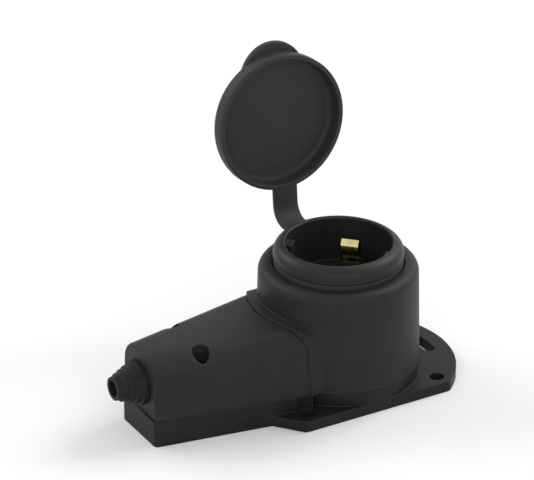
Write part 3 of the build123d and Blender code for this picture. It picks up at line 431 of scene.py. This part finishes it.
def tab_outline(radius):
    """Outline of the grip tab across the lid: a round end with a hollow curve at each foot."""
    tab_centre = radius + TAB_REACH - TAB_RADIUS
    foot_circle = radius - FOOT_SINK
    lid_side = foot_circle + TAB_FOOT_RADIUS
    tab_side = TAB_RADIUS + TAB_FOOT_RADIUS
    foot_up = (lid_side**2 - tab_side**2 + tab_centre**2) / (2 * tab_centre)
    foot_out = sqrt(lid_side**2 - foot_up**2)
    lid_angle = atan2(foot_out, foot_up)
    tab_angle = atan2(foot_out, foot_up - tab_centre)
    root = radius * TAB_ROOT_SHARE
    right = [(root * sin(lid_angle), root * cos(lid_angle))]
    for step in range(FOOT_FADE_STEPS, 0, -1):
        share = step / FOOT_FADE_STEPS
        angle = lid_angle + FOOT_FADE_TURN * share
        reach = foot_circle - FOOT_FADE_DEPTH * share**2
        right.append((reach * sin(angle), reach * cos(angle)))
    foot = (foot_out, foot_up)
    right += arc(foot, TAB_FOOT_RADIUS, lid_angle + pi, tab_angle + pi, FOOT_STEPS)
    round_end = arc((0, tab_centre), TAB_RADIUS, tab_angle, -tab_angle, TAB_END_STEPS)
    left = [(-x, u) for x, u in reversed(right)]
    return right + round_end[1:-1] + left


def turned(name, section, place):
    """Closed round object from a half section that starts and ends on the axis."""
    mesh = bmesh.new()
    turns = [2 * pi * step / LID_TURN_STEPS for step in range(LID_TURN_STEPS)]
    rings = []
    for radius, height in section:
        if radius < TINY:
            points = [place(0, 0, height)]
        else:
            points = [place(radius * sin(a), radius * cos(a), height) for a in turns]
        rings.append([mesh.verts.new(point) for point in points])
    for first, second in zip(rings, rings[1:]):
        for step in range(LID_TURN_STEPS):
            following = (step + 1) % LID_TURN_STEPS
            corners = [first[step % len(first)], first[following % len(first)]]
            corners += [second[following % len(second)], second[step % len(second)]]
            mesh.faces.new(list(dict.fromkeys(corners)))
    bmesh.ops.recalc_face_normals(mesh, faces=mesh.faces)
    return mesh_object(name, mesh)


def grip_tab(outline, place, outward):
    """The lid's grip tab as a plate with rounded edges."""
    mesh = bmesh.new()
    foot = LID_HEIGHT - TAB_DROP - TAB_THICKNESS
    face = mesh.faces.new([mesh.verts.new(place(x, u, foot)) for x, u in outline])
    lifted = bmesh.ops.extrude_face_region(mesh, geom=[face])["geom"]
    raised = [item for item in lifted if isinstance(item, bmesh.types.BMVert)]
    bmesh.ops.translate(mesh, verts=raised, vec=outward * TAB_THICKNESS)

    def lies_flat(edge):
        first, second = edge.verts
        return abs((first.co - second.co).dot(outward)) < TINY

    bmesh.ops.bevel(
        mesh,
        geom=[edge for edge in mesh.edges if lies_flat(edge)],
        offset=TAB_EDGE,
        segments=TAB_EDGE_STEPS,
        profile=0.5,
        affect="EDGES",
    )
    bmesh.ops.recalc_face_normals(mesh, faces=mesh.faces)
    return mesh_object("grip_tab", mesh)


def combine(target, steps):
    """Joins objects to a target or cuts them from it, and removes the objects used."""
    for operation, tool in steps:
        modifier = target.modifiers.new(operation.lower(), "BOOLEAN")
        modifier.operation = operation
        modifier.solver = "EXACT"
        modifier.object = tool
    bpy.context.view_layer.update()
    depsgraph = bpy.context.evaluated_depsgraph_get()
    joined = bpy.data.meshes.new_from_object(target.evaluated_get(depsgraph))
    target.modifiers.clear()
    target.data = joined
    for _, tool in steps:
        bpy.data.objects.remove(tool)


def weld(data):
    """Merges the points of a joined mesh that nearly meet and drops the slivers between them."""
    mesh = bmesh.new()
    mesh.from_mesh(data)
    bmesh.ops.remove_doubles(mesh, verts=mesh.verts, dist=WELD)
    bmesh.ops.triangulate(mesh, faces=mesh.faces)
    bmesh.ops.dissolve_degenerate(mesh, dist=WELD, edges=mesh.edges)
    bmesh.ops.triangulate(mesh, faces=mesh.faces)
    mesh.to_mesh(data)
    mesh.free()


def build_lid():
    """The lid as one mesh: a turned cap joined with its grip tab, then hollowed."""
    low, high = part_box("lid")
    radius = (high[0] - low[0]) / 2
    centre, outward, upward = lid_frame()

    def place(x, u, height):
        return centre + Vector((x, 0, 0)) + upward * u + outward * height

    lid = turned("round_lid", cap_section(radius), place)
    tab = grip_tab(tab_outline(radius), place, outward)
    hollow = turned("lid_hollow", hollow_section(radius), place)
    combine(lid, (("UNION", tab), ("DIFFERENCE", hollow)))
    weld(lid.data)
    shade_smooth(lid.data)
    lid.data.set_sharp_from_angle(angle=SHARP_ANGLE)
    lid.data.materials.clear()
    lid.data.materials.append(finishes["lid_rubber"])
    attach(lid, "flap")
    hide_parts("lid")


def strap_line():
    """Points along the strap's middle, the heading at each, and the two ends of its bend."""
    _, ring_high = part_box("lid_ring")
    lid_low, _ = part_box("lid")
    centre, outward, upward = lid_frame()
    foot = ring_high[2] - STRAP_THICKNESS / 2
    # The upper run lies along the lid's back, and meets the lower one at a corner
    on_line = centre + outward * (STRAP_THICKNESS / 2 + STRAP_INSET)
    corner = on_line - upward * ((on_line.z - foot) / upward.z)
    top = on_line - upward * ((on_line.z - lid_low[2]) / upward.z - STRAP_LAP)
    # The bend rounds that corner
    turn = pi - LID_OPEN
    setback = STRAP_BEND * tan(turn / 2)
    start = Vector((0, ring_high[1] - RING_OVERLAP, foot))
    bend_start = corner - Vector((0, setback, 0))
    bend_centre = bend_start + Vector((0, 0, STRAP_BEND))
    bend_end = corner + upward * setback
    line = [start.lerp(bend_start, step / RUN_STEPS) for step in range(RUN_STEPS)]
    headings = [Vector((0, 1, 0))] * RUN_STEPS
    for step in range(BEND_STEPS + 1):
        angle = turn * step / BEND_STEPS
        line.append(bend_centre + STRAP_BEND * Vector((0, sin(angle), -cos(angle))))
        headings.append(Vector((0, cos(angle), sin(angle))))
    for step in range(1, RUN_STEPS + 1):
        line.append(bend_end.lerp(top, step / RUN_STEPS))
        headings.append(upward)
    return line, headings, bend_start, bend_end


def strap_section(flare):
    """Rectangle with rounded corners, wider by a flare at each side: (sideways, through)."""
    half_width = STRAP_WIDTH / 2 + flare - STRAP_EDGE
    half_depth = STRAP_THICKNESS / 2 - STRAP_EDGE
    points = []
    for index, (side, face) in enumerate(((1, 1), (-1, 1), (-1, -1), (1, -1))):
        for step in range(STRAP_EDGE_STEPS + 1):
            angle = pi / 2 * (index + step / STRAP_EDGE_STEPS)
            sideways = side * half_width + STRAP_EDGE * cos(angle)
            through = face * half_depth + STRAP_EDGE * sin(angle)
            points.append((sideways, through))
    return points


def build_strap():
    """The strap as one mesh from the ring to the lid, bent round a corner."""
    line, headings, bend_start, bend_end = strap_line()
    across = Vector((1, 0, 0))
    mesh = bmesh.new()
    rings = []
    for point, heading in zip(line, headings):
        through = across.cross(heading)
        near = max(0.0, 1 - (point - line[0]).length / ROOT_REACH)
        section = strap_section(ROOT_FLARE * (1 - sqrt(1 - near**2)))
        rings.append([mesh.verts.new(point + across * u + through * v) for u, v in section])
    count = len(rings[0])
    for first, second in zip(rings, rings[1:]):
        for index in range(count):
            following = (index + 1) % count
            mesh.faces.new((first[index], first[following], second[following], second[index]))
    mesh.faces.new(list(reversed(rings[0])))
    mesh.faces.new(rings[-1])
    bmesh.ops.recalc_face_normals(mesh, faces=mesh.faces)
    strap = mesh_object("flexible_strap", mesh)
    strap.data.materials.append(finishes["lid_rubber"])
    tuple(bend_start)
    tuple(bend_end)
    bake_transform(strap)
    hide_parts("lid_strap")


def background_rays(tree):
    """1 for what the camera, a reflection or a clear piece sees, and 0 for light on the object."""
    path = tree.nodes.new("ShaderNodeLightPath")
    seen = path.outputs["Is Camera Ray"]
    for ray in ("Is Glossy Ray", "Is Transmission Ray"):
        either = tree.nodes.new("ShaderNodeMath")
        either.operation = "MAXIMUM"
        tree.links.new(seen, either.inputs[0])
        tree.links.new(path.outputs[ray], either.inputs[1])
        seen = either.outputs["Value"]
    return seen


def floor_material():
    """Pale matt floor, lifted to white only for what sees it, not for the light it gives."""
    material, tree, shader, coords = new_material("pale_floor")
    cloud = noise(tree, coords, scale=3.0, detail=2.0, roughness=0.5)
    tint = two_tone(tree, cloud, (0.83, 0.83, 0.83), (0.86, 0.86, 0.86))
    tree.links.new(tint, shader.inputs["Base Color"])
    shader.inputs["Roughness"].default_value = 0.9
    shader.inputs["Specular IOR Level"].default_value = FLOOR_SPECULAR
    lift = span(tree, background_rays(tree), (0.0, 1.0), (0.0, FLOOR_LIFT))
    shader.inputs["Emission Color"].default_value = (1, 1, 1, 1)
    tree.links.new(lift, shader.inputs["Emission Strength"])
    return material


def build_floor():
    """Plain floor that turns up far behind into a backdrop."""
    half = 4.0
    rise = 3.0
    bend = 1.2
    bend_steps = 24
    bend_foot = half - bend
    profile = [(-half, 0.0), (bend_foot, 0.0)]
    for step in range(1, bend_steps + 1):
        angle = pi / 2 * step / bend_steps
        profile.append((bend_foot + bend * sin(angle), bend - bend * cos(angle)))
    profile.append((half, rise))
    mesh = bmesh.new()
    rows = [[mesh.verts.new((side * half, y, z)) for side in (-1, 1)] for y, z in profile]
    for (near_left, near_right), (far_left, far_right) in zip(rows, rows[1:]):
        mesh.faces.new((near_left, near_right, far_right, far_left))
    floor = mesh_object("floor", mesh)
    floor.rotation_euler = (0, 0, radians(360 - PHOTO_AZIMUTH))
    floor.data.materials.append(floor_material())
    floor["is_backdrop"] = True


def build_world():
    """Even grey light, which the camera and reflections see as white."""
    world = bpy.data.worlds.new("studio")
    bpy.context.scene.world = world
    world.use_nodes = True
    tree = world.node_tree
    background = tree.nodes["Background"]
    background.inputs["Color"].default_value = (1, 1, 1, 1)
    strength = span(tree, background_rays(tree), (0.0, 1.0), (WORLD_STRENGTH, 1.0))
    tree.links.new(strength, background.inputs["Strength"])


def lamp(name, place, width, height, power):
    """Large soft area lamp aimed at the object."""
    data = bpy.data.lights.new(name, "AREA")
    data.shape = "RECTANGLE"
    data.size = width
    data.size_y = height
    data.energy = power
    obj = link(bpy.data.objects.new(name, data))
    obj.location = place
    obj.rotation_euler = (LAMP_TARGET - Vector(place)).to_track_quat("-Z", "Y").to_euler()


def build_lamps():
    """Key from the right, a second from the left and behind, a weak front fill."""
    lamp("key", place=(1.25, 0.05, 1.25), width=0.9, height=0.9, power=15)
    lamp("side", place=(-0.75, 1.15, 0.95), width=1.0, height=0.7, power=9)
    lamp("fill", place=(-0.7, -1.3, 0.8), width=1.4, height=0.8, power=6)


def build_camera():
    """Camera at the photograph's angle, aimed at the middle of the socket."""
    low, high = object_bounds()
    centre = (Vector(low) + Vector(high)) / 2
    azimuth = radians(PHOTO_AZIMUTH)
    elevation = radians(PHOTO_ELEVATION)
    level = cos(elevation)
    back = Vector((sin(azimuth) * level, -cos(azimuth) * level, sin(elevation)))
    data = bpy.data.cameras.new("photo_camera")
    data.lens = CAMERA_LENS
    data.sensor_width = SENSOR_WIDTH
    data.dof.use_dof = False
    camera = link(bpy.data.objects.new("photo_camera", data))
    camera.location = centre + back * CAMERA_DISTANCE
    camera.rotation_euler = (-back).to_track_quat("-Z", "Y").to_euler()
    bpy.context.scene.camera = camera


dress_nodes()
build_lid()
build_strap()
build_floor()
build_world()
build_lamps()
build_camera()
bpy.context.scene.view_settings.view_transform = "Standard"
